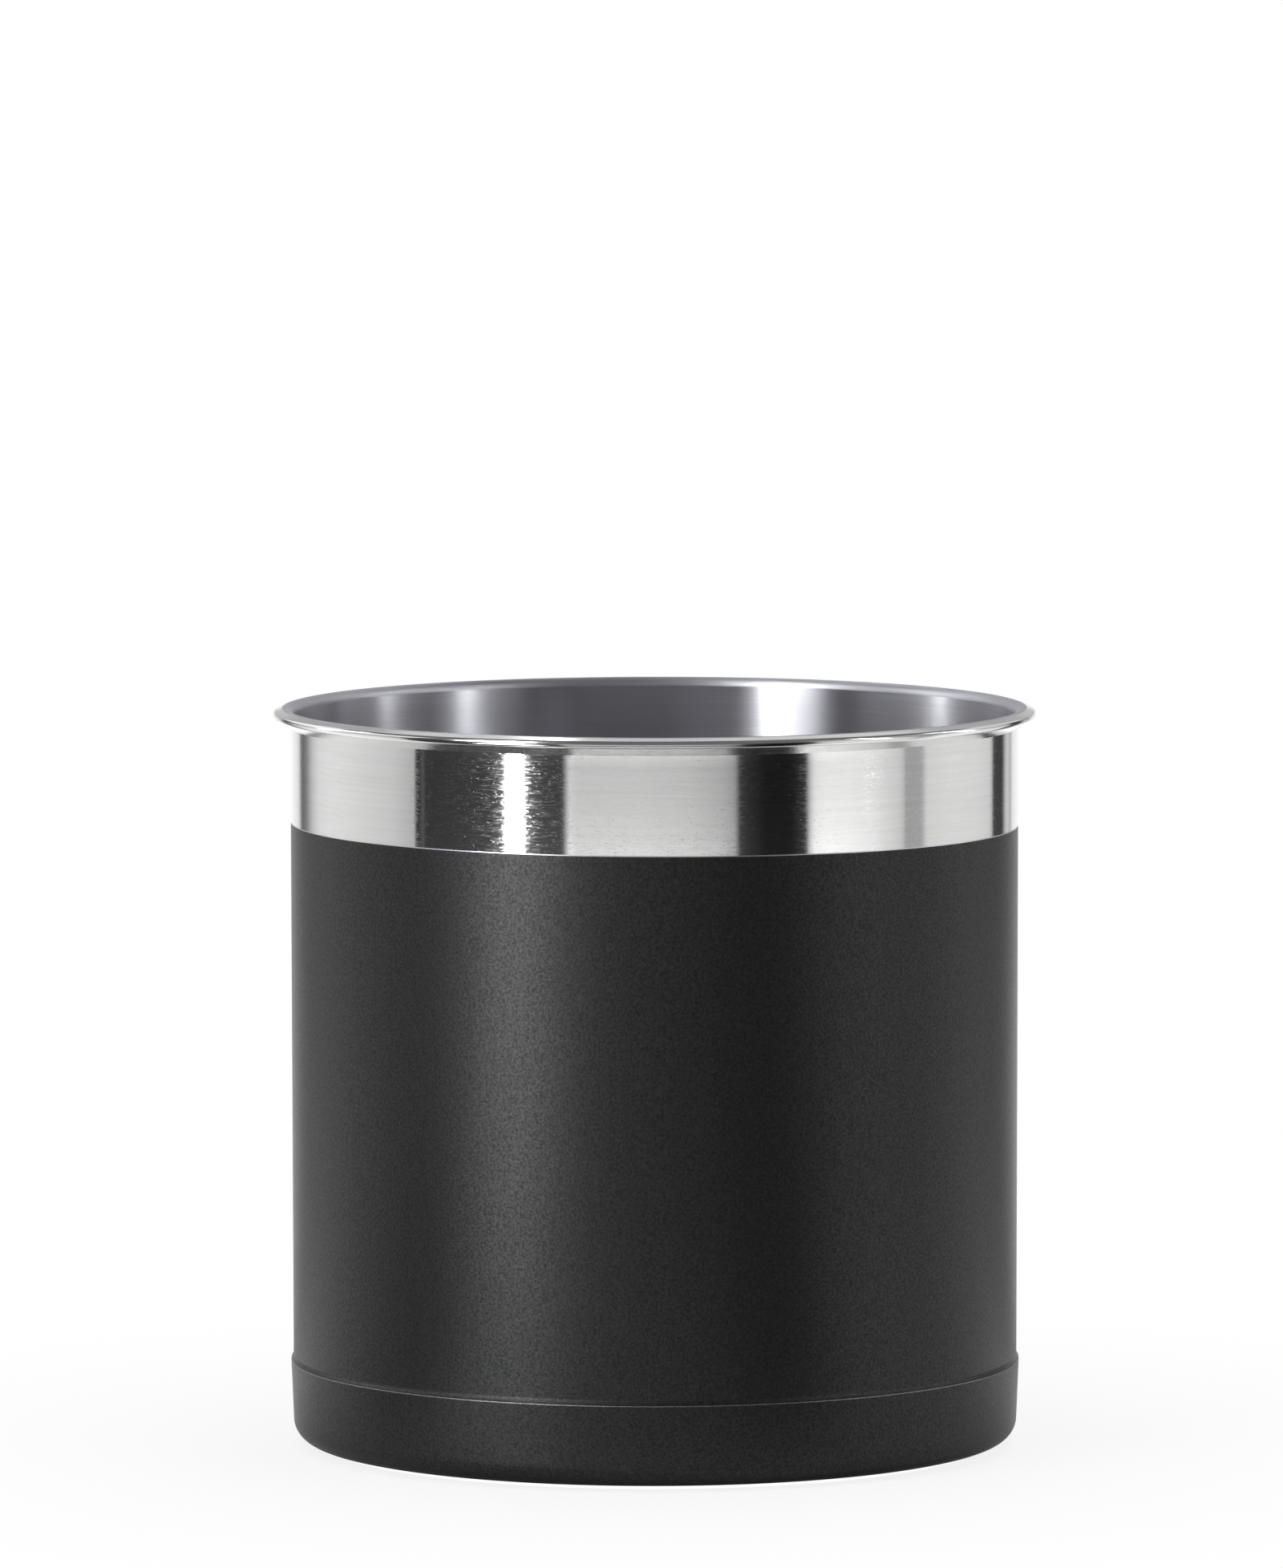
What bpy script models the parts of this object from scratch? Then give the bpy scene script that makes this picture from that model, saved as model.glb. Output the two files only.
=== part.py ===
"""Countertop holder for long tools: a steel wall with a rolled rim, on a weighted base cup.

Metres, +Z up. The origin lies on the resting plane, on the axis that every piece is turned about.
"""

import math

import bmesh
import bpy

# Whole body
TOTAL_HEIGHT = 0.1816
WALL_RADIUS = 0.0889
WALL_TAPER = 0.0004
SHEET = 0.0008
FIT_GAP = 0.0003

# Rolled rim: the wall turns out over a fillet, domes over to a tight roll that lies a little
# lower, and slopes back down to the wall
RIM_REACH = 0.0043
RIM_FILLET = 0.0013
ROLL_BORE_RADIUS = 0.0002
ROLL_DROP = 0.00065
RETURN_SLOPE_DEGREES = 30

# Bare steel starts this far below the top of the rim
BARE_BAND = 0.0287

# Stop bead on the wall, which sits on the edge of the base cup
BEAD_STEP = 0.0006
BEAD_SHOULDER = 0.0016
BEAD_LAND = 0.0008

# Base cup
CUP_HEIGHT = 0.0202
CUP_OVERSIZE = 0.00065
CUP_DRAFT = 0.0006
CUP_CORNER = 0.0055
SEAT_MARGIN = 0.01045
SEAT_DEPTH = 0.0010

# Foot pad, seated in the raised underside of the base cup
PAD_PROUD = 0.0010
PAD_CHAMFER = 0.0004

# Inner floor and the plate below it
FLOOR_HEIGHT = 0.0125
FLOOR_CORNER = 0.0016
BALLAST_THICKNESS = 0.0040
BALLAST_MARGIN = 0.0030
BALLAST_CHAMFER = 0.0004

# Facets
TURN_STEPS = 72
FILLET_STEPS = 4
ROLL_STEPS = 8
SHOULDER_STEPS = 3
CORNER_STEPS = 4
SHARP_EDGE_DEGREES = 35

# A face whose normal points this much at the axis belongs to the inside of the wall
INSIDE_SHARE = 0.5

# Places that the sizes above give
HALF_SHEET = SHEET / 2
RIM_WALL_RADIUS = WALL_RADIUS + WALL_TAPER
ROLL_RADIUS = ROLL_BORE_RADIUS + SHEET
BAND_FOOT = TOTAL_HEIGHT - BARE_BAND
CUP_UNDERSIDE = PAD_PROUD
SEAM_HEIGHT = CUP_UNDERSIDE + CUP_HEIGHT
BEAD_UNDERSIDE = SEAM_HEIGHT + FIT_GAP
CUP_TOP_RADIUS = WALL_RADIUS + CUP_OVERSIZE
CUP_FOOT_RADIUS = CUP_TOP_RADIUS - CUP_DRAFT
CORNER_CENTRE_RADIUS = CUP_FOOT_RADIUS - CUP_CORNER
CORNER_CENTRE_HEIGHT = CUP_UNDERSIDE + CUP_CORNER
SEAT_RADIUS = CORNER_CENTRE_RADIUS - SEAT_MARGIN
SEAT_TOP = CUP_UNDERSIDE + SEAT_DEPTH + SHEET
BALLAST_UNDERSIDE = SEAT_TOP + FIT_GAP


def clear_scene():
    for old in list(bpy.data.objects):
        bpy.data.objects.remove(old, do_unlink=True)


def finish(name, colour, roughness, metallic):
    """A material of one colour, for one surface finish."""
    material = bpy.data.materials.new(name)
    material.use_nodes = True
    shader = material.node_tree.nodes["Principled BSDF"]
    shader.inputs["Base Color"].default_value = (*colour, 1.0)
    shader.inputs["Roughness"].default_value = roughness
    shader.inputs["Metallic"].default_value = metallic
    return material


def arc(centre, radius, start, end, steps):
    """Points on an arc in the half plane (radius, height), angles in degrees from outwards, turning up."""
    points = []
    for step in range(steps + 1):
        angle = math.radians(start + (end - start) * step / steps)
        points.append((centre[0] + radius * math.cos(angle), centre[1] + radius * math.sin(angle)))
    return points


def unit(a, b):
    length = math.dist(a, b)
    return (b[0] - a[0]) / length, (b[1] - a[1]) / length


def offset(path, distance):
    """The path moved sideways, to its right, with its corners mitred."""
    moved = []
    for i, point in enumerate(path):
        before = unit(path[max(i - 1, 0)], path[max(i, 1)])
        after = unit(path[min(i, len(path) - 2)], path[min(i + 1, len(path) - 1)])
        right = (before[1] + after[1], -before[0] - after[0])
        reach = 2 * distance / (right[0] ** 2 + right[1] ** 2)
        moved.append((point[0] + right[0] * reach, point[1] + right[1] * reach))
    return moved


def sheet_outline(path):
    """The closed outline of a sheet whose middle follows the path."""
    return offset(path, HALF_SHEET) + offset(path, -HALF_SHEET)[::-1]


def turned(name, outline, materials):
    """A solid turned from a closed outline about the vertical axis."""
    bm = bmesh.new()
    corners = [bm.verts.new((radius, 0, height)) for radius, height in outline]
    edges = [bm.edges.new((a, b)) for a, b in zip(corners, corners[1:] + corners[:1])]
    bmesh.ops.spin(
        bm,
        geom=corners + edges,
        cent=(0, 0, 0),
        axis=(0, 0, 1),
        angle=math.tau,
        steps=TURN_STEPS,
        use_merge=True,
    )
    on_axis = [v for v in bm.verts if math.hypot(v.co.x, v.co.y) < FIT_GAP / 2]
    bmesh.ops.remove_doubles(bm, verts=on_axis, dist=FIT_GAP / 2)
    inner_lines = [e for e in bm.edges if not e.link_faces]
    bmesh.ops.delete(bm, geom=inner_lines, context="EDGES")
    bmesh.ops.recalc_face_normals(bm, faces=bm.faces)
    mesh = bpy.data.meshes.new(name)
    bm.to_mesh(mesh)
    bm.free()
    for material in materials:
        mesh.materials.append(material)
    mesh.shade_smooth()
    mesh.set_sharp_from_angle(angle=math.radians(SHARP_EDGE_DEGREES))
    solid = bpy.data.objects.new(name, mesh)
    bpy.context.scene.collection.objects.link(solid)
    return solid


def cup_outer_radius(height):
    """Outside of the base cup, which narrows from the seam down to its corner."""
    share = (SEAM_HEIGHT - height) / (SEAM_HEIGHT - CORNER_CENTRE_HEIGHT)
    return CUP_TOP_RADIUS - CUP_DRAFT * share


def skirt_outer_radius(height):
    """Outside of the wall's skirt, which follows the inside of the base cup."""
    return cup_outer_radius(height) - SHEET - FIT_GAP


def pan_outer_radius(height):
    """Outside of the floor pan's flange, which follows the inside of the skirt."""
    return skirt_outer_radius(height) - SHEET - FIT_GAP


def rim_path():
    """Middle of the sheet in the rim, from the top of the upright wall to its edge under the roll."""
    slope = math.radians(RETURN_SLOPE_DEGREES)
    fillet_middle = RIM_FILLET + HALF_SHEET
    roll_middle = ROLL_BORE_RADIUS + HALF_SHEET
    fillet_centre = (RIM_WALL_RADIUS + RIM_FILLET, TOTAL_HEIGHT - SHEET - RIM_FILLET)
    roll_top = TOTAL_HEIGHT - ROLL_DROP
    roll_centre = (RIM_WALL_RADIUS + RIM_REACH - ROLL_RADIUS, roll_top - ROLL_RADIUS)
    run = roll_centre[0] - fillet_centre[0]
    rise = roll_centre[1] - fillet_centre[1]
    tangent = math.acos((fillet_middle - roll_middle) / math.hypot(run, rise))
    brow = math.degrees(math.atan2(rise, run) + tangent)
    fillet = arc(fillet_centre, fillet_middle, 180, brow, FILLET_STEPS)
    roll = arc(roll_centre, roll_middle, brow, RETURN_SLOPE_DEGREES - 90, ROLL_STEPS)
    edge_radius = RIM_WALL_RADIUS + FIT_GAP + HALF_SHEET * math.sin(slope)
    edge_height = roll[-1][1] - (roll[-1][0] - edge_radius) * math.tan(slope)
    return [*fillet, *roll, (edge_radius, edge_height)]


def wall_path():
    """Middle of the wall sheet, from the end of the skirt up to the edge under the rim."""
    joggle = BEAD_UNDERSIDE + HALF_SHEET
    land_top = BEAD_UNDERSIDE + BEAD_LAND + HALF_SHEET
    wall_middle = WALL_RADIUS - HALF_SHEET
    bead_middle = wall_middle + BEAD_STEP
    skirt = [
        (skirt_outer_radius(height) - HALF_SHEET, height)
        for height in (CORNER_CENTRE_HEIGHT, joggle)
    ]
    shoulder = []
    for step in range(SHOULDER_STEPS + 1):
        share = step / SHOULDER_STEPS
        swing = math.cos(math.radians(90 * share))
        shoulder.append((wall_middle + BEAD_STEP * swing, land_top + BEAD_SHOULDER * share))
    rim = rim_path()
    climb = (BAND_FOOT - shoulder[-1][1]) / (rim[0][1] - shoulder[-1][1])
    band_edge = (wall_middle + WALL_TAPER * climb, BAND_FOOT)
    return [*skirt, (bead_middle, joggle), *shoulder, band_edge, *rim]


def wall_shell(coating, bare, brushed):
    """The wall: coated outside up to the bare band, polished above it, brushed inside."""
    shell = turned("wall_shell", sheet_outline(wall_path()), (coating, bare, brushed))
    for face in shell.data.polygons:
        radius = math.hypot(face.center.x, face.center.y)
        outwards = face.center.x * face.normal.x + face.center.y * face.normal.y
        if outwards < -INSIDE_SHARE * radius:
            face.material_index = 2
        else:
            face.material_index = 1 if face.center.z > BAND_FOOT else 0
    return shell


def base_cup(coating):
    """The cup that the wall's skirt plugs into, with a raised seat for the foot pad."""
    middle = CUP_CORNER - HALF_SHEET
    corner_centre = (CORNER_CENTRE_RADIUS, CORNER_CENTRE_HEIGHT)
    corner = arc(corner_centre, middle, 0, -90, CORNER_STEPS)
    path = [
        (CUP_TOP_RADIUS - HALF_SHEET, SEAM_HEIGHT),
        *corner,
        (SEAT_RADIUS + SEAT_DEPTH, CUP_UNDERSIDE + HALF_SHEET),
        (SEAT_RADIUS, CUP_UNDERSIDE + SEAT_DEPTH + HALF_SHEET),
        (0, CUP_UNDERSIDE + SEAT_DEPTH + HALF_SHEET),
    ]
    return turned("base_cup", sheet_outline(path), (coating,))


def flange_foot(radius):
    """Height at which a flange of this outer radius stands clear of the cup's inner corner."""
    inner_corner = CUP_CORNER - SHEET - FIT_GAP
    across = min(max(radius - CORNER_CENTRE_RADIUS, 0), inner_corner)
    return CORNER_CENTRE_HEIGHT - math.sqrt(inner_corner**2 - across**2)


def floor_pan(brushed):
    """The inner floor, with its flange turned down inside the wall's skirt."""
    middle = FLOOR_CORNER - HALF_SHEET
    corner_height = FLOOR_HEIGHT - FLOOR_CORNER
    rim_radius = pan_outer_radius(corner_height)
    corner = arc((rim_radius - FLOOR_CORNER, corner_height), middle, 90, 0, CORNER_STEPS)
    foot = flange_foot(pan_outer_radius(CORNER_CENTRE_HEIGHT))
    path = [(0, FLOOR_HEIGHT - HALF_SHEET), *corner, (pan_outer_radius(foot) - HALF_SHEET, foot)]
    return turned("floor_pan", sheet_outline(path), (brushed,))


def disc_outline(radius, bottom, top, chamfer):
    return [
        (0, bottom),
        (radius - chamfer, bottom),
        (radius, bottom + chamfer),
        (radius, top - chamfer),
        (radius - chamfer, top),
        (0, top),
    ]


def ballast_plate(raw_steel):
    """The weight on the raised seat, under the inner floor."""
    radius = SEAT_RADIUS - BALLAST_MARGIN
    top = BALLAST_UNDERSIDE + BALLAST_THICKNESS
    outline = disc_outline(radius, BALLAST_UNDERSIDE, top, BALLAST_CHAMFER)
    return turned("ballast_plate", outline, (raw_steel,))


def foot_pad(rubber):
    """The non-slip disc that the holder stands on."""
    seat_underside = CUP_UNDERSIDE + SEAT_DEPTH
    radius = SEAT_RADIUS - HALF_SHEET - FIT_GAP
    outline = disc_outline(radius, 0, seat_underside - FIT_GAP, PAD_CHAMFER)
    return turned("foot_pad", outline, (rubber,))


def build():
    clear_scene()
    coating = finish("black_coating", (0.030, 0.030, 0.031), 0.42, 0.30)
    bare = finish("polished_steel", (0.72, 0.71, 0.70), 0.12, 1.0)
    brushed = finish("brushed_steel", (0.56, 0.56, 0.60), 0.30, 1.0)
    raw_steel = finish("raw_steel", (0.36, 0.35, 0.34), 0.50, 1.0)
    rubber = finish("foot_rubber", (0.025, 0.025, 0.026), 0.80, 0.0)
    wall_shell(coating, bare, brushed)
    base_cup(coating)
    floor_pan(brushed)
    ballast_plate(raw_steel)
    foot_pad(rubber)


build()
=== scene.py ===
import math

import bmesh
import bpy
from mathutils import Matrix


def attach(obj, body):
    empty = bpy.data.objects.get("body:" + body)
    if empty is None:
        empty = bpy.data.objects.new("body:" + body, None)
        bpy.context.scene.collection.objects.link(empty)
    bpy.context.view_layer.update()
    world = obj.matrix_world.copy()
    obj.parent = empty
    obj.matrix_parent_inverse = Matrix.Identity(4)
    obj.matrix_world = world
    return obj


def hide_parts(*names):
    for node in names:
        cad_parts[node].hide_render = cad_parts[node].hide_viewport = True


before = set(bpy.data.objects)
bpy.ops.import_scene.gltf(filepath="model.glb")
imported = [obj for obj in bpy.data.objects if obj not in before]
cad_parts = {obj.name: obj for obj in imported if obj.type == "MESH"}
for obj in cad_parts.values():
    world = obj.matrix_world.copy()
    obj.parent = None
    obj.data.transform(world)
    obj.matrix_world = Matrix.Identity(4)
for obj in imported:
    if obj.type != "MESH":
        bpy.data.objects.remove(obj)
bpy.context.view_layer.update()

# Sizes of the solids, in metres, as the part's source gives them
TOTAL_HEIGHT = 0.1816
WALL_RADIUS = 0.0889
WALL_TAPER = 0.0004
SHEET = 0.0008
FIT_GAP = 0.0003
RIM_REACH = 0.0043
RIM_FILLET = 0.0013
ROLL_BORE_RADIUS = 0.0002
ROLL_DROP = 0.00065
RETURN_SLOPE_DEGREES = 30
BARE_BAND = 0.0287
BEAD_STEP = 0.0006
CUP_HEIGHT = 0.0202
CUP_OVERSIZE = 0.00065
CUP_DRAFT = 0.0006
CUP_CORNER = 0.0055
SEAT_MARGIN = 0.01045
SEAT_DEPTH = 0.0010
PAD_PROUD = 0.0010
FLOOR_HEIGHT = 0.0125
FLOOR_CORNER = 0.0016
BALLAST_THICKNESS = 0.0040
BALLAST_MARGIN = 0.0030

# Finer sizes that only the looks have
COAT = 0.00006
COAT_FADE = 0.0004
COAT_TILT_SHARE = -0.0055
COAT_TILT_REACH = 0.0060
FLARE_HEIGHT = 0.0055
FLARE_DEPTH = 0.00012
RETURN_GAP = 0.00004
EDGE_ROUND = 0.00018
CUP_EDGE_ROUND = 0.00032
BEAD_EDGE_ROUND = 0.00008
SEAM_GAP = 0.00004
# Height of the painted highlight along the top edge of the cup
SEAM_HIGHLIGHT_BAND = 0.0004
BEAD_EDGE_LAND = 0.00010
BEAD_BLEND = 0.0012
FOOT_LINE = 0.00025
SEAT_ROUND = 0.0006
PAD_ROUND = 0.0004
BALLAST_ROUND = 0.0004

# Facets
TURN_STEPS = 288
ARC_STEP_DEGREES = 9
SHOULDER_STEPS = 10
FLARE_STEPS = 8
SUPPORT = 0.00015
LONGEST_STRIP = 0.004
SHARP_EDGE_DEGREES = 40

# Material slots of the wall and of the cup
COATED, POLISHED, FORMED, BRUSHED, ROLLED, FLARED = range(6)
# The cup's second slot is a painted highlight along its top edge at the seam
CUP_COATED, CUP_SEAM_HIGHLIGHT = range(2)

# Places that the sizes above give
HALF_SHEET = SHEET / 2
RIM_WALL_RADIUS = WALL_RADIUS + WALL_TAPER
ROLL_RADIUS = ROLL_BORE_RADIUS + SHEET
BAND_FOOT = TOTAL_HEIGHT - BARE_BAND
SEAM_HEIGHT = PAD_PROUD + CUP_HEIGHT
BEAD_UNDERSIDE = SEAM_HEIGHT + SEAM_GAP
CUP_TOP_RADIUS = WALL_RADIUS + CUP_OVERSIZE
CUP_FOOT_RADIUS = CUP_TOP_RADIUS - CUP_DRAFT
CORNER_CENTRE_RADIUS = CUP_FOOT_RADIUS - CUP_CORNER
CORNER_CENTRE_HEIGHT = PAD_PROUD + CUP_CORNER
SEAT_RADIUS = CORNER_CENTRE_RADIUS - SEAT_MARGIN
SEAT_TOP = PAD_PROUD + SEAT_DEPTH + SHEET
BALLAST_UNDERSIDE = SEAT_TOP + FIT_GAP


# Outlines in the half plane (radius, height)

def arc(centre, radius, start, end):
    """Points on an arc, angles in degrees from outwards, turning up."""
    steps = max(2, math.ceil(abs(end - start) / ARC_STEP_DEGREES))
    points = []
    for step in range(steps + 1):
        angle = math.radians(start + (end - start) * step / steps)
        points.append((centre[0] + radius * math.cos(angle), centre[1] + radius * math.sin(angle)))
    return points


def unit(a, b):
    length = math.dist(a, b)
    return (b[0] - a[0]) / length, (b[1] - a[1]) / length


def offset(path, distance):
    """The path moved sideways, to its right, with its corners mitred."""
    moved = []
    for i, point in enumerate(path):
        before = unit(path[max(i - 1, 0)], path[max(i, 1)])
        after = unit(path[min(i, len(path) - 2)], path[min(i + 1, len(path) - 1)])
        right = (before[1] + after[1], -before[0] - after[0])
        reach = 2 * distance / (right[0] ** 2 + right[1] ** 2)
        moved.append((point[0] + right[0] * reach, point[1] + right[1] * reach))
    return moved


def rounded(points, index, radius):
    """The open path with one of its corners rounded."""
    before = unit(points[index], points[index - 1])
    after = unit(points[index], points[index + 1])
    half = math.acos(before[0] * after[0] + before[1] * after[1]) / 2
    run = radius / math.tan(half)
    middle = (before[0] + after[0], before[1] + after[1])
    length = math.hypot(*middle)
    reach = radius / math.sin(half)
    centre = tuple(points[index][k] + middle[k] / length * reach for k in (0, 1))
    start = tuple(points[index][k] + before[k] * run - centre[k] for k in (0, 1))
    end = tuple(points[index][k] + after[k] * run - centre[k] for k in (0, 1))
    first = math.degrees(math.atan2(start[1], start[0]))
    turn = math.degrees(math.atan2(end[1], end[0])) - first
    turn = (turn + 180) % 360 - 180
    return points[:index] + arc(centre, radius, first, first + turn) + points[index + 1 :]


def with_strips(outline):
    """The closed outline with its long edges cut into strips, narrow ones next to each corner."""
    dense = []
    for (a, slot), (b, _) in zip(outline, outline[1:] + outline[:1]):
        dense.append((a, slot))
        length = math.dist(a, b)
        if length > 4 * SUPPORT:
            inner = length - 2 * SUPPORT
            strips = math.ceil(inner / LONGEST_STRIP)
            for step in range(strips + 1):
                share = (SUPPORT + inner * step / strips) / length
                dense.append(((a[0] + (b[0] - a[0]) * share, a[1] + (b[1] - a[1]) * share), slot))
    return dense


def one_finish(points, slot=0):
    """An outline whose edges all have the same material slot."""
    return [(point, slot) for point in points]


def cup_outer_radius(height):
    share = (SEAM_HEIGHT - height) / (SEAM_HEIGHT - CORNER_CENTRE_HEIGHT)
    return CUP_TOP_RADIUS - CUP_DRAFT * share


def skirt_outer_radius(height):
    return cup_outer_radius(height) - SHEET - FIT_GAP


def pan_outer_radius(height):
    return skirt_outer_radius(height) - SHEET - FIT_GAP


# Meshes and objects

def placed(name, data):
    """A new object in the scene, for a mesh, a lamp or a camera."""
    made = bpy.data.objects.new(name, data)
    bpy.context.scene.collection.objects.link(made)
    return made


def turned(name, outline, materials):
    """A closed solid, turned from an outline of points with the slot of the edge that starts at each."""
    bm = bmesh.new()
    outline = with_strips(outline)
    on_axis = [point[0] < SUPPORT for point, slot in outline]
    rings = []
    for ((radius, height), slot), closed in zip(outline, on_axis):
        if closed:
            rings.append([bm.verts.new((0, 0, height))] * TURN_STEPS)
            continue
        ring = []
        for step in range(TURN_STEPS):
            angle = math.tau * step / TURN_STEPS
            ring.append(bm.verts.new((radius * math.cos(angle), radius * math.sin(angle), height)))
        rings.append(ring)
    for i, ring in enumerate(rings):
        j = (i + 1) % len(rings)
        if on_axis[i] and on_axis[j]:
            continue
        for step in range(TURN_STEPS):
            after = (step + 1) % TURN_STEPS
            loop = [ring[step], ring[after], rings[j][after], rings[j][step]]
            face = bm.faces.new(list(dict.fromkeys(loop)))
            face.material_index = outline[i][1]
    bmesh.ops.recalc_face_normals(bm, faces=bm.faces)
    mesh = bpy.data.meshes.new(name)
    bm.to_mesh(mesh)
    bm.free()
    for material in materials:
        mesh.materials.append(material)
    mesh.shade_smooth()
    mesh.set_sharp_from_angle(angle=math.radians(SHARP_EDGE_DEGREES))
    return placed(name, mesh)


# Material nodes

def material_tree(name):
    material = bpy.data.materials.new(name)
    material.use_nodes = True
    return material, material.node_tree, material.node_tree.nodes["Principled BSDF"]


def bare_material(name):
    """A material with no nodes in it yet."""
    material = bpy.data.materials.new(name)
    material.use_nodes = True
    material.node_tree.nodes.clear()
    return material, material.node_tree


def node(tree, kind, settings=None, **inputs):
    """A node with its settings, its constants and its links. An input's name has _ for a space, and an
    input that is counted and not named has _ before its number."""
    made = tree.nodes.new(kind)
    for key, value in (settings or {}).items():
        setattr(made, key, value)
    for key, value in inputs.items():
        socket = made.inputs[int(key[1:])] if key[1:].isdigit() else made.inputs[key.replace("_", " ")]
        if isinstance(value, bpy.types.NodeSocket):
            tree.links.new(value, socket)
        else:
            socket.default_value = value
    return made


def object_place(tree):
    return node(tree, "ShaderNodeTexCoord").outputs["Object"]


def stretched(tree, across, upward):
    """Places on the object, stretched so that a pattern runs around the wall in lines."""
    scaled = node(tree, "ShaderNodeMapping", Vector=object_place(tree), Scale=(across, across, upward))
    return scaled.outputs["Vector"]


def noise(tree, vector, detail, roughness, scale=1.0):
    made = node(
        tree,
        "ShaderNodeTexNoise",
        Vector=vector,
        Scale=scale,
        Detail=detail,
        Roughness=roughness,
    )
    return made.outputs["Fac"]


def remap(tree, value, ends, new_ends):
    """The value with its two ends moved to new ends, and held between them."""
    made = node(
        tree,
        "ShaderNodeMapRange",
        Value=value,
        From_Min=ends[0],
        From_Max=ends[1],
        To_Min=new_ends[0],
        To_Max=new_ends[1],
    )
    return made.outputs["Result"]


def maths(tree, operation, a, b):
    return node(tree, "ShaderNodeMath", {"operation": operation}, _0=a, _1=b).outputs["Value"]


def vector_maths(tree, operation, **inputs):
    return node(tree, "ShaderNodeVectorMath", {"operation": operation}, **inputs)


def opaque(tone):
    return (*tone, 1.0)


def mixed_tone(tree, share, low, high):
    mix = node(tree, "ShaderNodeMix", {"data_type": "RGBA"}, _0=share, _6=opaque(low), _7=opaque(high))
    return mix.outputs[2]


def set_tone(tree, shader, share, tones):
    """The surface's colour runs from the first tone to the second with a share."""
    tree.links.new(mixed_tone(tree, share, *tones), shader.inputs["Base Color"])


def set_roughness(tree, shader, value, ends, roughness):
    tree.links.new(remap(tree, value, ends, roughness), shader.inputs["Roughness"])


def set_bump(tree, shader, height, depth):
    bump = node(tree, "ShaderNodeBump", Height=height, Strength=1.0, Distance=depth)
    tree.links.new(bump.outputs["Normal"], shader.inputs["Normal"])


# Share of a turn that turns the stretch of a reflection from level to upright
UPRIGHT_STRETCH_SHARE = 0.25


def steel(name, anisotropy):
    """A metal whose lines around the axis spread a reflection upwards and downwards."""
    material, tree, shader = material_tree(name)
    shader.inputs["Metallic"].default_value = 1.0
    shader.inputs["Anisotropic"].default_value = anisotropy
    shader.inputs["Anisotropic Rotation"].default_value = UPRIGHT_STRETCH_SHARE
    tangent = node(tree, "ShaderNodeTangent", {"direction_type": "RADIAL", "axis": "Z"})
    tree.links.new(tangent.outputs["Tangent"], shader.inputs["Tangent"])
    return material, tree, shader


# Finishes

# A pattern is given by how many of its lengths there are in a metre, level and upwards. Tones are a
# surface's darkest and lightest colour. A roughness is given at the low and at the high end of what
# changes it, and depths are in metres

# Ends between which nearly all of a noise lies, and the whole range of a share
NOISE_ENDS = (0.3, 0.7)
WHOLE = (0.0, 1.0)

POLISH_LINES = (28, 950)
POLISH_TONES = ((0.765, 0.765, 0.76), (0.82, 0.82, 0.815))
POLISH_ROUGHNESS = (0.08, 0.23)
POLISH_DEPTH = 0.0000014
SPECKS = (1100, 3000)
SPECK_ENDS = (0.60, 0.74)
SCRATCHES = (360, 3000)
SCRATCH_ENDS = (0.46, 0.72)
SCRATCH_SHARES = (0.0, 0.5)

FORMED_MOTTLE = (700, 1400)
FORMED_TONE = (0.66, 0.66, 0.655)
FORMED_ROUGHNESS = (0.12, 0.26)
FORMED_DEPTH = 0.00002

BRUSH_LINES = (25, 3000)
BRUSH_PATCHES = (30, 90)
BRUSH_PATCH_SHARE = 0.4
BRUSH_ENDS = (0.5, 0.9)
BRUSH_TONES = ((0.52, 0.52, 0.56), (0.60, 0.60, 0.64))
BRUSH_ROUGHNESS = (0.29, 0.34)
BRUSH_DEPTH = 0.000005

ROLL_STREAKS = (60, 900)
ROLL_TONES = ((0.74, 0.74, 0.74), (0.81, 0.81, 0.81))
ROLL_ROUGHNESS = (0.11, 0.15)

FLARE_STREAKS = (40, 900)
FLARE_TONES = ((0.55, 0.55, 0.60), (0.63, 0.63, 0.68))
FLARE_ROUGHNESS = (0.42, 0.50)

TURNED_CIRCLES = 4200.0
TURNED_PATCHES = 30.0
TURNED_TONE = (0.57, 0.57, 0.61)
TURNED_ROUGHNESS = (0.26, 0.38)
TURNED_DEPTH = 0.000008

COATING_GRAINS = 1700.0
COATING_FINE_GRAINS = 3400.0
COATING_FINE_SHARE = 0.4
COATING_TONES = ((0.023, 0.023, 0.0233), (0.046, 0.046, 0.0465))
COATING_METALLIC = 0.90
COATING_ROUGHNESS = (0.46, 0.40)
COATING_SHEEN = 0.28
COATING_SHEEN_ROUGHNESS = 0.22
COATING_DEPTH = 0.000032
DUST_SPECKS = 150.0
DUST_SIZE_SHARE = 0.022
DUST_TONE = (0.08, 0.08, 0.08)

# The top edge of the cup at the seam, painted lighter than the coating: a painted highlight along the
# seam
SEAM_HIGHLIGHT_TONES = ((0.110, 0.110, 0.111), (0.210, 0.210, 0.212))

PLATE_SKIN = 90.0
PLATE_TONES = ((0.24, 0.235, 0.23), (0.40, 0.39, 0.375))
PLATE_ROUGHNESS = (0.62, 0.42)
PLATE_DEPTH = 0.00006

RUBBER_GRAIN = 1400.0
RUBBER_SCUFFS = 60.0
SCUFF_ENDS = (0.35, 0.75)
RUBBER_TONES = ((0.022, 0.022, 0.023), (0.045, 0.045, 0.046))
RUBBER_ROUGHNESS = (0.70, 0.88)
RUBBER_DEPTH = 0.00012


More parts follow.
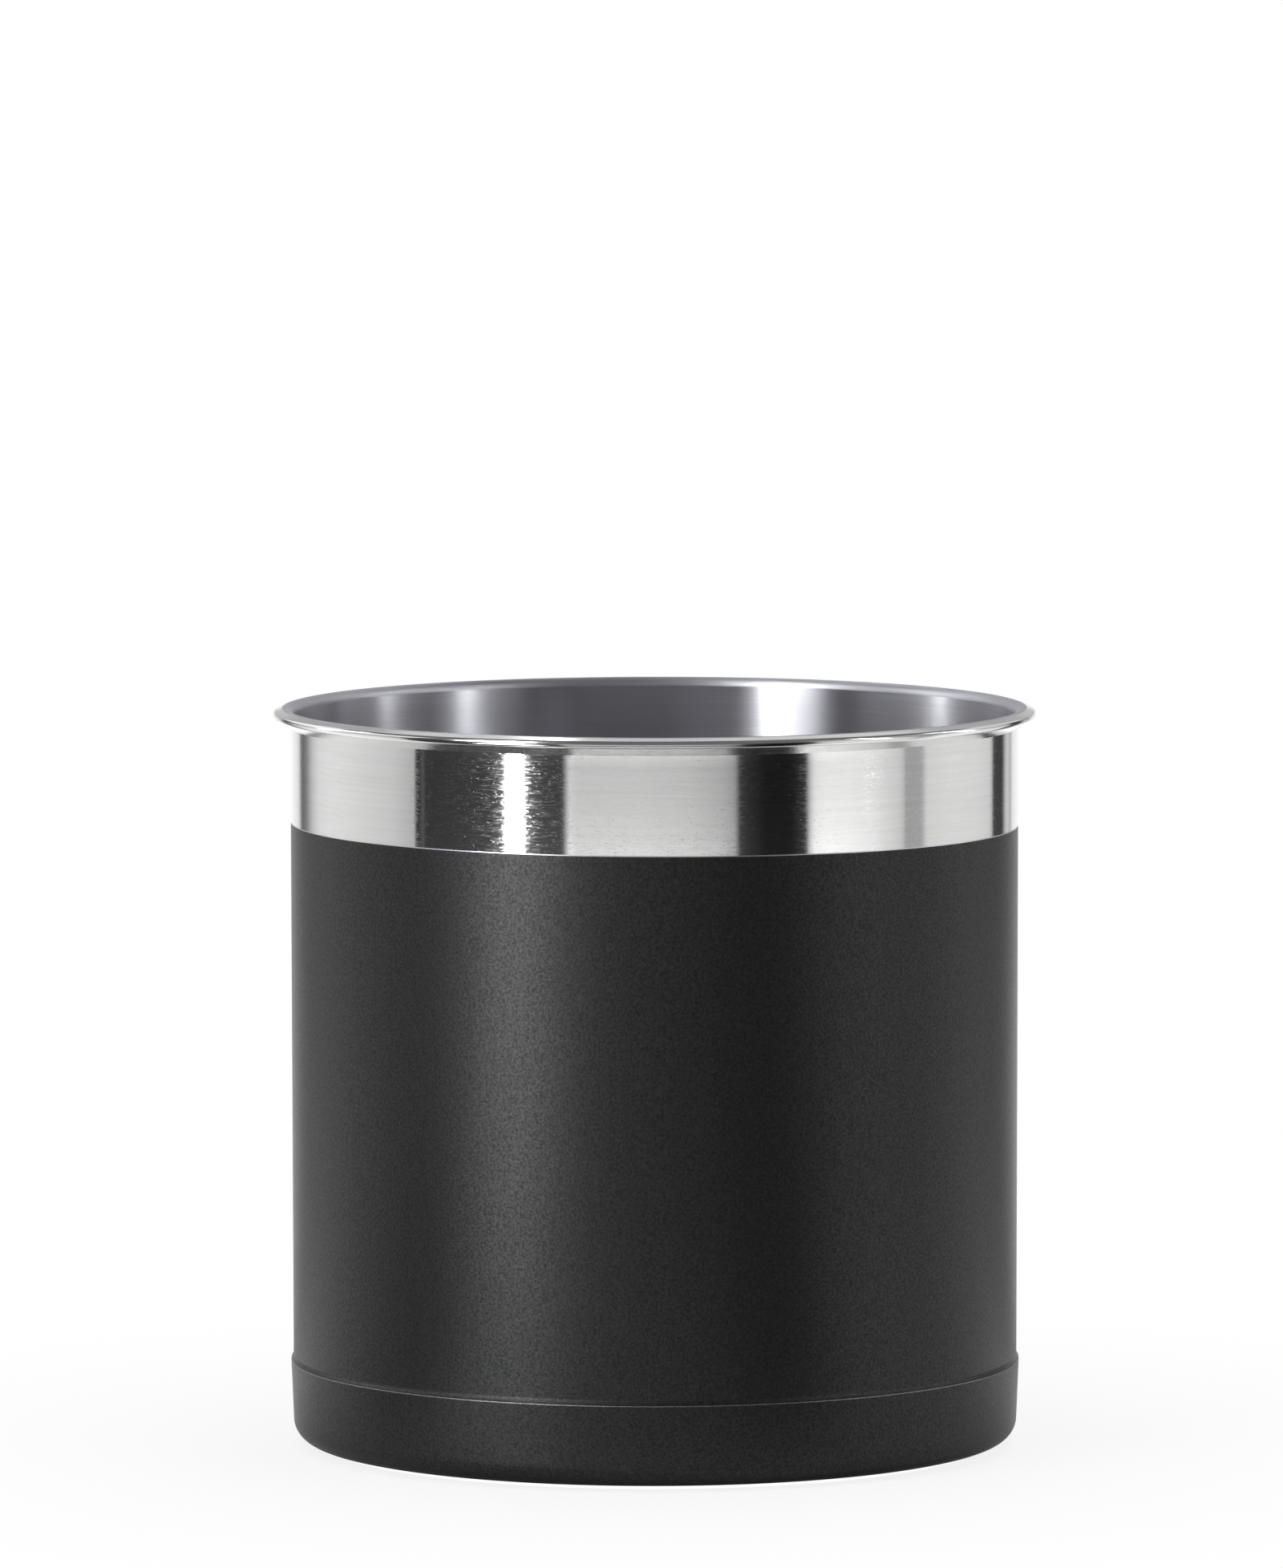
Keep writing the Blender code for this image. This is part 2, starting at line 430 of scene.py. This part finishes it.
def polished_steel():
    """The bare band: a mirror with fine lines around it, and specks and short scratches."""
    material, tree, shader = steel("polished_steel", anisotropy=0.80)
    lines = noise(tree, stretched(tree, *POLISH_LINES), detail=3.0, roughness=0.6)
    specks = noise(tree, stretched(tree, *SPECKS), detail=1.0, roughness=0.5)
    scratches = noise(tree, stretched(tree, *SCRATCHES), detail=1.0, roughness=0.5)
    speck_share = remap(tree, specks, SPECK_ENDS, WHOLE)
    scratch_share = remap(tree, scratches, SCRATCH_ENDS, SCRATCH_SHARES)
    marks = maths(tree, "MAXIMUM", speck_share, scratch_share)
    set_tone(tree, shader, remap(tree, lines, NOISE_ENDS, WHOLE), POLISH_TONES)
    set_roughness(tree, shader, marks, WHOLE, POLISH_ROUGHNESS)
    set_bump(tree, shader, lines, POLISH_DEPTH)
    return material


def formed_steel():
    """The hollow under the rim, which the polishing wheel doesn't reach: mottled and duller."""
    material, tree, shader = steel("formed_steel", anisotropy=0.4)
    shader.inputs["Base Color"].default_value = opaque(FORMED_TONE)
    mottle = noise(tree, stretched(tree, *FORMED_MOTTLE), detail=4.0, roughness=0.65)
    set_roughness(tree, shader, mottle, NOISE_ENDS, FORMED_ROUGHNESS)
    set_bump(tree, shader, mottle, FORMED_DEPTH)
    return material


def brushed_steel():
    """The inside of the wall: brushed around, with a cool tint."""
    material, tree, shader = steel("brushed_steel", anisotropy=0.97)
    lines = noise(tree, stretched(tree, *BRUSH_LINES), detail=4.0, roughness=0.65)
    patches = noise(tree, stretched(tree, *BRUSH_PATCHES), detail=2.0, roughness=0.5)
    mixed = maths(tree, "ADD", lines, maths(tree, "MULTIPLY", patches, BRUSH_PATCH_SHARE))
    set_tone(tree, shader, remap(tree, mixed, BRUSH_ENDS, WHOLE), BRUSH_TONES)
    set_roughness(tree, shader, lines, NOISE_ENDS, BRUSH_ROUGHNESS)
    set_bump(tree, shader, lines, BRUSH_DEPTH)
    return material


def streaked_steel(name, streaks, tones, roughness, anisotropy):
    """A smooth steel with faint streaks around it."""
    material, tree, shader = steel(name, anisotropy)
    pattern = noise(tree, stretched(tree, *streaks), detail=3.0, roughness=0.6)
    set_tone(tree, shader, remap(tree, pattern, NOISE_ENDS, WHOLE), tones)
    set_roughness(tree, shader, pattern, NOISE_ENDS, roughness)
    return material


def rolled_steel():
    """The outside of the rolled edge: smooth, and a little duller than the band."""
    return streaked_steel("rolled_steel", ROLL_STREAKS, ROLL_TONES, ROLL_ROUGHNESS, anisotropy=0.5)


def flared_steel():
    """The inside of the flare, where the brushed lines are pressed flat, and the line along the edge of
    the coating: smooth, soft and cool."""
    return streaked_steel("flared_steel", FLARE_STREAKS, FLARE_TONES, FLARE_ROUGHNESS, anisotropy=0.6)


def turned_steel():
    """The inner floor: fine circles around the middle."""
    material, tree, shader = steel("turned_steel", anisotropy=0.75)
    shader.inputs["Base Color"].default_value = opaque(TURNED_TONE)
    flat = vector_maths(tree, "MULTIPLY", _0=object_place(tree), _1=(1.0, 1.0, 0.0)).outputs["Vector"]
    radius = vector_maths(tree, "LENGTH", _0=flat).outputs["Value"]
    split = node(tree, "ShaderNodeSeparateXYZ", Vector=flat)
    place = node(
        tree,
        "ShaderNodeCombineXYZ",
        X=maths(tree, "MULTIPLY", radius, TURNED_CIRCLES),
        Y=maths(tree, "MULTIPLY", split.outputs["X"], TURNED_PATCHES),
        Z=maths(tree, "MULTIPLY", split.outputs["Y"], TURNED_PATCHES),
    )
    lines = noise(tree, place.outputs["Vector"], detail=3.0, roughness=0.6)
    set_roughness(tree, shader, lines, NOISE_ENDS, TURNED_ROUGHNESS)
    set_bump(tree, shader, lines, TURNED_DEPTH)
    return material


def black_coating(name, tones=COATING_TONES):
    """Satin black coating with fine metallic grains and a few specks of dust."""
    material, tree, shader = material_tree(name)
    shader.inputs["Metallic"].default_value = COATING_METALLIC
    shader.inputs["Sheen Weight"].default_value = COATING_SHEEN
    shader.inputs["Sheen Roughness"].default_value = COATING_SHEEN_ROUGHNESS
    place = object_place(tree)
    grains = noise(tree, place, detail=1.0, roughness=0.5, scale=COATING_GRAINS)
    fine = noise(tree, place, detail=1.0, roughness=0.5, scale=COATING_FINE_GRAINS)
    dust = node(tree, "ShaderNodeTexVoronoi", Vector=place, Scale=DUST_SPECKS)
    speck = maths(tree, "LESS_THAN", dust.outputs["Distance"], DUST_SIZE_SHARE)
    clean = mixed_tone(tree, remap(tree, grains, NOISE_ENDS, WHOLE), *tones)
    dusted = node(tree, "ShaderNodeMix", {"data_type": "RGBA"}, _0=speck, _6=clean, _7=opaque(DUST_TONE))
    tree.links.new(dusted.outputs[2], shader.inputs["Base Color"])
    set_roughness(tree, shader, grains, NOISE_ENDS, COATING_ROUGHNESS)
    height = maths(tree, "ADD", grains, maths(tree, "MULTIPLY", fine, COATING_FINE_SHARE))
    set_bump(tree, shader, height, COATING_DEPTH)
    return material


def raw_steel():
    """The weight: unfinished plate with a mill skin."""
    material, tree, shader = material_tree("raw_steel")
    shader.inputs["Metallic"].default_value = 1.0
    skin = noise(tree, object_place(tree), detail=6.0, roughness=0.65, scale=PLATE_SKIN)
    set_tone(tree, shader, remap(tree, skin, NOISE_ENDS, WHOLE), PLATE_TONES)
    set_roughness(tree, shader, skin, NOISE_ENDS, PLATE_ROUGHNESS)
    set_bump(tree, shader, skin, PLATE_DEPTH)
    return material


def foot_rubber():
    """The pad: matte moulded rubber with a fine grain."""
    material, tree, shader = material_tree("foot_rubber")
    place = object_place(tree)
    grain = noise(tree, place, detail=3.0, roughness=0.6, scale=RUBBER_GRAIN)
    scuffs = noise(tree, place, detail=4.0, roughness=0.6, scale=RUBBER_SCUFFS)
    set_tone(tree, shader, remap(tree, scuffs, SCUFF_ENDS, WHOLE), RUBBER_TONES)
    set_roughness(tree, shader, grain, NOISE_ENDS, RUBBER_ROUGHNESS)
    set_bump(tree, shader, grain, RUBBER_DEPTH)
    return material


# Pieces

def rim_path():
    """Middle of the sheet in the rim: the fillet, the roll, and the edge that comes back to the wall."""
    slope = math.radians(RETURN_SLOPE_DEGREES)
    fillet_middle = RIM_FILLET + HALF_SHEET
    roll_middle = ROLL_BORE_RADIUS + HALF_SHEET
    fillet_centre = (RIM_WALL_RADIUS + RIM_FILLET, TOTAL_HEIGHT - SHEET - RIM_FILLET)
    roll_centre = (RIM_WALL_RADIUS + RIM_REACH - ROLL_RADIUS, TOTAL_HEIGHT - ROLL_DROP - ROLL_RADIUS)
    run = roll_centre[0] - fillet_centre[0]
    rise = roll_centre[1] - fillet_centre[1]
    tangent = math.acos((fillet_middle - roll_middle) / math.hypot(run, rise))
    brow = math.degrees(math.atan2(rise, run) + tangent)
    fillet = arc(fillet_centre, fillet_middle, 180, brow)
    roll = arc(roll_centre, roll_middle, brow, RETURN_SLOPE_DEGREES - 90)
    edge_radius = RIM_WALL_RADIUS + RETURN_GAP + HALF_SHEET * math.sin(slope)
    edge_height = roll[-1][1] - (roll[-1][0] - edge_radius) * math.tan(slope)
    return fillet, roll, (edge_radius, edge_height)


def bead_swing(share):
    """How far out the bead is, as a share of its step: 1 at its foot and 0 at its top."""
    return 1 - math.sin(math.radians(90 * share))


def wall_path():
    """Middle of the wall sheet below the rim: the skirt, the bead and the slightly flared wall."""
    joggle = BEAD_UNDERSIDE + HALF_SHEET
    bead_foot = joggle + BEAD_EDGE_LAND
    wall_middle = WALL_RADIUS - HALF_SHEET
    skirt = [
        (skirt_outer_radius(height) - HALF_SHEET, height)
        for height in (CORNER_CENTRE_HEIGHT, joggle)
    ]
    bead = [(wall_middle + BEAD_STEP, joggle)]
    for step in range(SHOULDER_STEPS + 1):
        share = step / SHOULDER_STEPS
        bead.append((wall_middle + BEAD_STEP * bead_swing(share), bead_foot + BEAD_BLEND * share))
    rim_foot = TOTAL_HEIGHT - SHEET - RIM_FILLET
    bead_top = bead[-1][1]
    climb_share = (BAND_FOOT - bead_top) / (rim_foot - FLARE_HEIGHT - bead_top)
    band_edge = (wall_middle + (WALL_TAPER - FLARE_DEPTH) * climb_share, BAND_FOOT)
    foot_line = (band_edge[0], BAND_FOOT + FOOT_LINE)
    flare = []
    for step in range(FLARE_STEPS):
        share = step / FLARE_STEPS
        flared = wall_middle + WALL_TAPER - FLARE_DEPTH * (1 - share**2)
        flare.append((flared, rim_foot - FLARE_HEIGHT * (1 - share)))
    return skirt, bead, [band_edge, foot_line, *flare]


def coated_bead():
    """Outside of the coating just above the seam, where it flares out to the edge of the bead."""
    points = []
    for step in range(SHOULDER_STEPS + 1):
        share = step / SHOULDER_STEPS
        radius = WALL_RADIUS + COAT + BEAD_STEP * bead_swing(share)
        points.append((radius, BEAD_UNDERSIDE + BEAD_BLEND * share))
    return points


def wall_shell():
    """The wall: coated outside up to the bare band, polished above it, brushed inside."""
    skirt, bead, band = wall_path()
    fillet, roll, edge = rim_path()
    path = [*skirt, *bead, *band, *fillet, *roll, edge]
    right = offset(path, HALF_SHEET)
    left = offset(path, -HALF_SHEET)
    coat_from = len(skirt)
    coat_to = coat_from + len(bead)
    band_to = coat_to + len(band) - 1
    fillet_to = band_to + len(fillet)
    roll_to = fillet_to + len(roll)
    coat = [*coated_bead(), (right[coat_to][0] + COAT, BAND_FOOT - COAT_FADE)]
    coat = rounded([right[coat_from - 1], *coat], 1, BEAD_EDGE_ROUND)
    outline = [
        *one_finish(right[: coat_from - 1], COATED),
        *one_finish(coat, COATED),
        *one_finish(right[coat_to : coat_to + 1], FLARED),
        *one_finish(right[coat_to + 1 : fillet_to + 1], POLISHED),
        *one_finish(right[fillet_to + 1 :], FORMED),
        *one_finish(left[: roll_to - 1 : -1], FORMED),
        *one_finish(left[roll_to - 1 : fillet_to : -1], ROLLED),
        *one_finish(left[fillet_to : band_to + 1 : -1], FLARED),
        *one_finish(left[band_to + 1 :: -1], BRUSHED),
    ]
    materials = (
        black_coating("wall_coating"),
        polished_steel(),
        formed_steel(),
        brushed_steel(),
        rolled_steel(),
        flared_steel(),
    )
    shell = turned("wall_shell_detailed", outline, materials)
    for vertex in shell.data.vertices:
        reach_share = max(0, 1 - abs(vertex.co.z - BAND_FOOT) / COAT_TILT_REACH)
        vertex.co.z += COAT_TILT_SHARE * vertex.co.x * reach_share
    return shell


def base_cup():
    """The cup that the wall's skirt plugs into, with a raised seat for the foot pad."""
    corner = arc((CORNER_CENTRE_RADIUS, CORNER_CENTRE_HEIGHT), CUP_CORNER - HALF_SHEET, 0, -90)
    low = PAD_PROUD + HALF_SHEET
    path = [
        (CUP_TOP_RADIUS - HALF_SHEET, SEAM_HEIGHT),
        *corner,
        (SEAT_RADIUS + SEAT_DEPTH, low),
        (SEAT_RADIUS, low + SEAT_DEPTH),
        (0, low + SEAT_DEPTH),
    ]
    outer = offset(path, -HALF_SHEET)[::-1]
    inner = offset(path, HALF_SHEET)
    points = [(max(radius, 0), height) for radius, height in outer + inner]
    points = rounded(points, len(outer), EDGE_ROUND)
    points = rounded(points, len(outer) - 1, CUP_EDGE_ROUND)
    points = rounded(points, 2, SEAT_ROUND)
    points = rounded(points, 1, SEAT_ROUND)
    outline = []
    for radius, height in points:
        # The top edge of the cup gets a lighter coating: a painted highlight along the seam
        painted_highlight = height > SEAM_HEIGHT - SEAM_HIGHLIGHT_BAND and radius > CUP_TOP_RADIUS - HALF_SHEET
        outline.append(((radius, height), CUP_SEAM_HIGHLIGHT if painted_highlight else CUP_COATED))
    # The second coating is the painted highlight on the cup's top edge
    materials = (black_coating("cup_coating"), black_coating("painted_seam_highlight", SEAM_HIGHLIGHT_TONES))
    return turned("base_cup_detailed", outline, materials)


def flange_foot(radius):
    """Height at which the pan's flange stands in the corner of the cup."""
    inner_corner = CUP_CORNER - SHEET - FIT_GAP
    across = min(max(radius - CORNER_CENTRE_RADIUS, 0), inner_corner)
    return CORNER_CENTRE_HEIGHT - math.sqrt(inner_corner**2 - across**2)


def floor_pan():
    """The inner floor, with its flange turned down inside the wall's skirt."""
    corner_height = FLOOR_HEIGHT - FLOOR_CORNER
    rim_radius = pan_outer_radius(corner_height)
    corner = arc((rim_radius - FLOOR_CORNER, corner_height), FLOOR_CORNER - HALF_SHEET, 90, 0)
    foot = flange_foot(pan_outer_radius(CORNER_CENTRE_HEIGHT))
    path = [(0, FLOOR_HEIGHT - HALF_SHEET), *corner, (pan_outer_radius(foot) - HALF_SHEET, foot)]
    upper = offset(path, -HALF_SHEET)
    lower = offset(path, HALF_SHEET)[::-1]
    return turned("floor_pan_detailed", one_finish(upper + lower), (turned_steel(),))


def disc(name, radius, bottom, top, edge_round, material):
    outline = [(0, bottom), (radius, bottom), (radius, top), (0, top)]
    outline = rounded(outline, 2, edge_round)
    outline = rounded(outline, 1, edge_round)
    return turned(name, one_finish(outline), (material,))


def ballast_plate():
    """The weight, a disc on the raised seat of the cup."""
    radius = SEAT_RADIUS - BALLAST_MARGIN
    top = BALLAST_UNDERSIDE + BALLAST_THICKNESS
    return disc("ballast_plate_detailed", radius, BALLAST_UNDERSIDE, top, BALLAST_ROUND, raw_steel())


def foot_pad():
    """The non-slip disc in the seat of the cup, which the holder stands on."""
    radius = SEAT_RADIUS - HALF_SHEET - FIT_GAP
    top = PAD_PROUD + SEAT_DEPTH - FIT_GAP
    return disc("foot_pad_detailed", radius, 0, top, PAD_ROUND, foot_rubber())


def build_pieces():
    """Each piece, with the solid that it stands for and the record's slot for its finish: the piece
    rides on the root and the solid is hidden.
    """
    pieces = (
        (wall_shell(), "wall_shell", "wall_coating"),
        (base_cup(), "base_cup", "cup_coating"),
        (floor_pan(), "floor_pan", "brushed_steel"),
        (ballast_plate(), "ballast_plate", "raw_steel"),
        (foot_pad(), "foot_pad", "foot_rubber"),
    )
    for piece, cad_node, slot in pieces:
        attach(piece, "root")
        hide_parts(cad_node)


# Studio

# Everything in the studio is in metres, and around the object in degrees from the camera's side towards
# +X. A level of 1 is white

CARD_STEP_DEGREES = 2.0

# A ring around the object that only its reflections see. It lies just over the floor up to its outer
# edge, where it stands up
RING_RADIUS = 0.70
RING_LIFT = 0.0006
RING_TOP = 0.34

# Rows of the ring: radius, height, and the shares of the level that its front and the rest have there
RING_ROWS = (
    (0.14, RING_LIFT, 0.15, 1.30),
    (0.18, RING_LIFT, 0.15, 1.30),
    (0.20, RING_LIFT, 1.90, 1.30),
    (0.25, RING_LIFT, 1.90, 1.30),
    (0.30, RING_LIFT, 0.25, 1.30),
    (RING_RADIUS, RING_LIFT, 0.25, 1.35),
    (RING_RADIUS, 0.030, 0.60, 1.20),
    (RING_RADIUS, 0.055, 1.70, 1.05),
    (RING_RADIUS, 0.080, 2.20, 1.00),
    (RING_RADIUS, 0.098, 1.15, 1.00),
    (RING_RADIUS, 0.112, 1.00, 1.00),
    (RING_RADIUS, 0.190, 1.00, 1.00),
    (RING_RADIUS, 0.250, 0.55, 0.55),
    (RING_RADIUS, RING_TOP, 0.55, 0.55),
)

# The front reaches this far to each side, and fades into the rest over as many degrees again
FRONT_HALF_DEGREES = 40

# Levels along the ring: the direction and the level there
RING_LEVELS = (
    (-180, 1.06),
    (-158, 1.00),
    (-150, 0.90),
    (-146, 0.68),
    (-144, 0.22),
    (-141, 0.16),
    (-137, 0.27),
    (-132, 0.60),
    (-127, 0.80),
    (-120, 0.87),
    (-104, 0.81),
    (-86, 0.68),
    (-78, 0.54),
    (-76.8, 0.56),
    (-76.2, 0.04),
    (-74.4, 0.04),
    (-73.9, 0.10),
    (-73.3, 0.10),
    (-72.6, 0.04),
    (-26.9, 0.05),
    (-26.0, 0.36),
    (-25.0, 0.70),
    (-23, 0.60),
    (-5, 0.61),
    (10, 0.55),
    (20, 0.44),
    (23.6, 0.34),
    (25.0, 0.04),
    (28, 0.025),
    (33, 0.010),
    (41, 0.010),
    (45.6, 0.03),
    (46.7, 0.52),
    (48.4, 0.84),
    (52, 0.92),
    (60, 0.93),
    (69, 0.84),
    (78, 0.71),
    (80.2, 0.64),
    (81.2, 0.40),
    (88, 0.42),
    (90.4, 0.77),
    (100, 0.81),
    (115, 0.81),
    (126, 0.73),
    (128.0, 0.50),
    (129.2, 0.06),
    (137.4, 0.05),
    (139.6, 0.34),
    (142, 0.67),
    (145, 0.62),
    (147.4, 0.46),
    (149.8, 0.80),
    (153, 0.94),
    (180, 1.06),
)

# Upright strips of light inside the ring: name, middle and width, lowest and highest point, level
STRIP_RADIUS = 0.69
STRIPS = (
    ("key_strip", -41.8, 4.2, 0.02, 0.36, 39.0),
    ("high_key_strip", -49.0, 22, 0.36, 0.70, 8.5),
    ("upper_key_strip", -56, 14, 0.70, 1.30, 8.0),
    ("right_strip", 68, 5, 0.20, 0.70, 6.6),
    ("far_right_strip", 103, 5, 0.20, 0.70, 4.4),
    ("far_left_strip", -112, 6, 0.20, 0.70, 5.4),
    ("back_strip", -170.8, 2.8, 0.65, 1.00, 4.0),
)

# Flat cards just over the floor, which carry the key strip's light down the coating and the cup: name,
# inner and outer radius, level
LOW_KEY_LIFT = 0.0012
LOW_KEY_ENDS = (-52, -32)
LOW_KEY_CARDS = (
    ("cup_key_card", 0.125, 0.165, 1.8),
    ("low_key_card", 0.32, 0.46, 6.0),
)

# Sky cards that go on where the ring ends: name, from and to, lowest and highest point, level
SKY_CARDS = (
    ("low_back_sky", 150, 210, RING_TOP, 0.64, 0.45),
    ("back_sky", 150, 210, 0.64, 1.02, 0.74),
    ("left_back_sky", 210, 255, RING_TOP, 0.66, 1.15),
    ("right_back_sky", 105, 150, RING_TOP, 0.66, 0.74),
    ("left_sky", -105, -75, RING_TOP, 0.70, 1.00),
    ("right_sky", 48, 105, RING_TOP, 0.70, 0.46),
)


def glow(name, level):
    material, tree = bare_material(name)
    shine = node(tree, "ShaderNodeEmission", Strength=level)
    node(tree, "ShaderNodeOutputMaterial", Surface=shine.outputs["Emission"])
    return material


def reflection_only(card):
    """Stage that only the object's reflections see."""
    card.visible_camera = False
    card.visible_diffuse = False
    card.visible_transmission = False
    card.visible_volume_scatter = False
    card.visible_shadow = False


def bent_card(name, azimuths, rows, material, levels=None):
    """A card bent around the axis. Rows are the (radius, height) of its edges and folds, and levels, if
    given, are the level at each of its points."""
    vertices = []
    for radius, height in rows:
        for azimuth in azimuths:
            turn = math.radians(azimuth)
            vertices.append((radius * math.sin(turn), -radius * math.cos(turn), height))
    columns = len(azimuths)
    faces = []
    for row in range(len(rows) - 1):
        for step in range(columns - 1):
            a = row * columns + step
            faces.append((a, a + 1, a + columns + 1, a + columns))
    mesh = bpy.data.meshes.new(name)
    mesh.from_pydata(vertices, [], faces)
    mesh.materials.append(material)
    if levels:
        colours = mesh.color_attributes.new("level", "FLOAT_COLOR", "POINT")
        for item, level in zip(colours.data, levels):
            item.color = (level, level, level, 1.0)
    reflection_only(placed(name, mesh))


def spread(start, end):
    """Azimuths from start to end in even steps."""
    steps = max(1, math.ceil((end - start) / CARD_STEP_DEGREES))
    return [start + (end - start) * step / steps for step in range(steps + 1)]


def ring_glow():
    material, tree = bare_material("ring")
    level = node(tree, "ShaderNodeVertexColor", {"layer_name": "level"})
    shine = node(tree, "ShaderNodeEmission", Color=level.outputs["Color"])
    node(tree, "ShaderNodeOutputMaterial", Surface=shine.outputs["Emission"])
    return material


def build_ring():
    """The ring, whose levels run straight from each of its stops to the next."""
    azimuths = []
    around = []
    for (start, level), (end, next_level) in zip(RING_LEVELS, RING_LEVELS[1:]):
        for azimuth in spread(start, end)[:-1]:
            share = (azimuth - start) / (end - start)
            azimuths.append(azimuth)
            around.append(level + (next_level - level) * share)
    azimuths.append(RING_LEVELS[-1][0])
    around.append(RING_LEVELS[-1][1])
    levels = []
    for radius, height, front_share, rest_share in RING_ROWS:
        for azimuth, level in zip(azimuths, around):
            front = min(1, max(0, 2 - abs(azimuth) / FRONT_HALF_DEGREES))
            levels.append(level * (rest_share + (front_share - rest_share) * front))
    rows = [row[:2] for row in RING_ROWS]
    bent_card("ring", azimuths, rows, ring_glow(), levels)


def build_cards():
    build_ring()
    for name, near, far, level in LOW_KEY_CARDS:
        rows = ((near, LOW_KEY_LIFT), (far, LOW_KEY_LIFT))
        bent_card(name, spread(*LOW_KEY_ENDS), rows, glow(name, level))
    for name, middle, width, low, high, level in STRIPS:
        rows = ((STRIP_RADIUS, low), (STRIP_RADIUS, high))
        bent_card(name, spread(middle - width / 2, middle + width / 2), rows, glow(name, level))
    for name, start, end, low, high, level in SKY_CARDS:
        rows = ((RING_RADIUS, low), (RING_RADIUS, high))
        bent_card(name, spread(start, end), rows, glow(name, level))


# The floor lies a hair below the object, with a hole under it. The camera sees the floor fade to white
# between two radii, with these shares of white at them
FLOOR_SIZE = 12.0
FLOOR_DROP = 0.00005
FLOOR_HOLE = 0.0815
FLOOR_TONE = (0.72, 0.72, 0.72)
FADE_RADII = (0.10, 0.26)
FADE_SHARES = (0.86, 1.0)


def floor_material():
    """Pale floor. The camera sees it fade to white away from the object, with the object's shadow on it.
    It is clear from below, and right under the object, so that the underside can be seen and lit."""
    material, tree = bare_material("floor")
    radius = vector_maths(tree, "LENGTH", _0=object_place(tree)).outputs["Value"]
    plain = node(tree, "ShaderNodeBsdfDiffuse", Color=opaque(FLOOR_TONE)).outputs["BSDF"]
    white = node(tree, "ShaderNodeEmission", Strength=1.0).outputs["Emission"]
    fade = remap(tree, radius, FADE_RADII, FADE_SHARES)
    faded = node(tree, "ShaderNodeMixShader", _0=fade, _1=plain, _2=white).outputs["Shader"]
    seen = node(tree, "ShaderNodeLightPath").outputs["Is Camera Ray"]
    from_above = node(tree, "ShaderNodeMixShader", _0=seen, _1=plain, _2=faded).outputs["Shader"]
    hole = maths(tree, "LESS_THAN", radius, FLOOR_HOLE)
    below = node(tree, "ShaderNodeNewGeometry").outputs["Backfacing"]
    open_share = maths(tree, "MAXIMUM", below, hole)
    clear = node(tree, "ShaderNodeBsdfTransparent").outputs["BSDF"]
    whole = node(tree, "ShaderNodeMixShader", _0=open_share, _1=from_above, _2=clear)
    node(tree, "ShaderNodeOutputMaterial", Surface=whole.outputs["Shader"])
    return material


def build_floor():
    half = FLOOR_SIZE / 2
    corners = [(-half, -half), (half, -half), (half, half), (-half, half)]
    mesh = bpy.data.meshes.new("floor")
    mesh.from_pydata([(*corner, -FLOOR_DROP) for corner in corners], [], [(0, 1, 2, 3)])
    mesh.materials.append(floor_material())
    floor = placed("floor", mesh)


# Levels of the room, above and below the floor, and the downward directions between which it changes
ROOM_LEVEL = 0.16
LOW_ROOM_LEVEL = 0.70
LOW_ROOM_ENDS = (-0.15, -0.10)


def build_world():
    """White behind the object for the camera, and for the rest a dim grey room, lighter from below."""
    world = bpy.data.worlds.new("studio")
    bpy.context.scene.world = world
    world.use_nodes = True
    tree = world.node_tree
    tree.nodes.clear()
    direction = node(tree, "ShaderNodeTexCoord").outputs["Generated"]
    climb = node(tree, "ShaderNodeSeparateXYZ", Vector=direction).outputs["Z"]
    room = remap(tree, climb, LOW_ROOM_ENDS, (LOW_ROOM_LEVEL, ROOM_LEVEL))
    seen = node(tree, "ShaderNodeLightPath").outputs["Is Camera Ray"]
    level = maths(tree, "MAXIMUM", seen, room)
    background = node(tree, "ShaderNodeBackground", Color=(1.0, 1.0, 1.0, 1.0), Strength=level)
    node(tree, "ShaderNodeOutputWorld", Surface=background.outputs["Background"])


# Soft lamps that reflections don't see: name, azimuth and elevation, distance, size, power in watts
LAMPS = (
    ("top_lamp", 0, 90, 1.5, 1.4, 18.0),
    ("key_lamp", -45, 35, 1.4, 0.6, 6.0),
    ("fill_lamp", 60, 25, 1.5, 0.9, 5.0),
    ("back_lamp", 170, 35, 1.5, 0.9, 5.0),
)


def build_lamps():
    for name, azimuth, elevation, distance, size, power in LAMPS:
        data = bpy.data.lights.new(name, "AREA")
        data.shape = "SQUARE"
        data.size = size
        data.energy = power
        lamp = placed(name, data)
        turn = Matrix.Rotation(math.radians(azimuth), 4, "Z")
        tilt = Matrix.Rotation(math.radians(90 - elevation), 4, "X")
        lift = Matrix.Translation((0, 0, distance))
        lamp.matrix_world = turn @ tilt @ lift
        lamp.visible_glossy = False


# Camera, as fitted to the photograph's outline

CAMERA_PLACE = (0, -3.0335, 0.4328)
CAMERA_LENS = 285.1
CAMERA_SENSOR = 36.0
CAMERA_YAW_DEGREES = 0.060
CAMERA_PITCH_DEGREES = 84.908
CAMERA_ROLL_DEGREES = -0.066


def build_camera():
    data = bpy.data.cameras.new("camera")
    data.lens = CAMERA_LENS
    data.sensor_width = CAMERA_SENSOR
    data.clip_start = 0.1
    data.clip_end = 100.0
    camera = placed("camera", data)
    yaw = Matrix.Rotation(math.radians(CAMERA_YAW_DEGREES), 4, "Z")
    pitch = Matrix.Rotation(math.radians(CAMERA_PITCH_DEGREES), 4, "X")
    roll = Matrix.Rotation(math.radians(CAMERA_ROLL_DEGREES), 4, "Z")
    camera.matrix_world = Matrix.Translation(CAMERA_PLACE) @ yaw @ pitch @ roll
    bpy.context.scene.camera = camera


build_pieces()
build_cards()
build_floor()
build_world()
build_lamps()
build_camera()
bpy.context.scene.view_settings.view_transform = "Standard"
